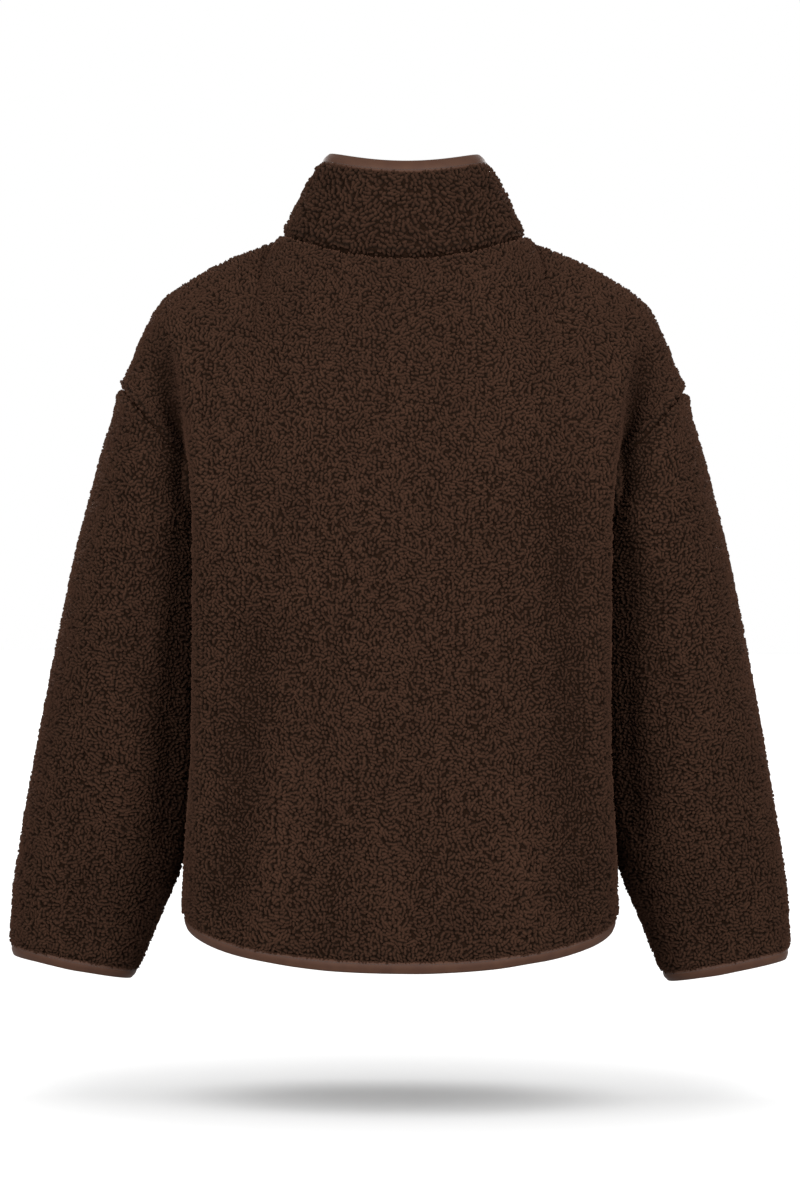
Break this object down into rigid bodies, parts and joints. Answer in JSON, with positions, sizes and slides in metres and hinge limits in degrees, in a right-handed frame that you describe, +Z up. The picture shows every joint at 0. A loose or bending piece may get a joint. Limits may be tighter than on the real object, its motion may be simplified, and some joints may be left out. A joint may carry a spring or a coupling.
{
  "type": "fleece jacket",
  "caption": "Boxy high-pile fleece jacket with stand collar, dropped shoulders and bound edges, zipped up and filled out as worn, arms down.",
  "frame": {"origin": "between the shoulders of the wearer, level with the neck points, where the wearer holds the jacket up", "axes": "+Z up, +Y towards the wearer's back, +X towards the wearer's left; the zip is on the -Y side"},
  "size_m": [0.685, 0.2852, 0.7177],
  "materials": {
    "pile_fleece": "dark brown high-pile knitted fleece with curled nubs",
    "binding": "lighter brown folded elastic binding, satin face",
    "zip_tape": "dark brown woven zip tape",
    "zip_metal": "brown lacquered die-cast zinc"
  },
  "bodies": {
    "jacket": {"back": "pile_fleece", "front_left": "pile_fleece", "front_right": "pile_fleece", "sleeve_left": "pile_fleece", "sleeve_right": "pile_fleece", "collar": "pile_fleece", "collar_binding": "binding", "hem_binding": "binding", "cuff_binding_left": "binding", "cuff_binding_right": "binding", "zip_tape_left": "zip_tape", "zip_tape_right": "zip_tape", "zip_slider": "zip_metal"},
    "pull": {"zip_pull": "zip_metal"}
  },
  "joints": [
    {"name": "zip_pull_swing", "type": "hinge", "parent": "jacket", "child": "pull", "pos_m": [0, -0.0749, 0.0035], "axis": [-1, 0, 0], "range_deg": [0, 170]}
  ]
}
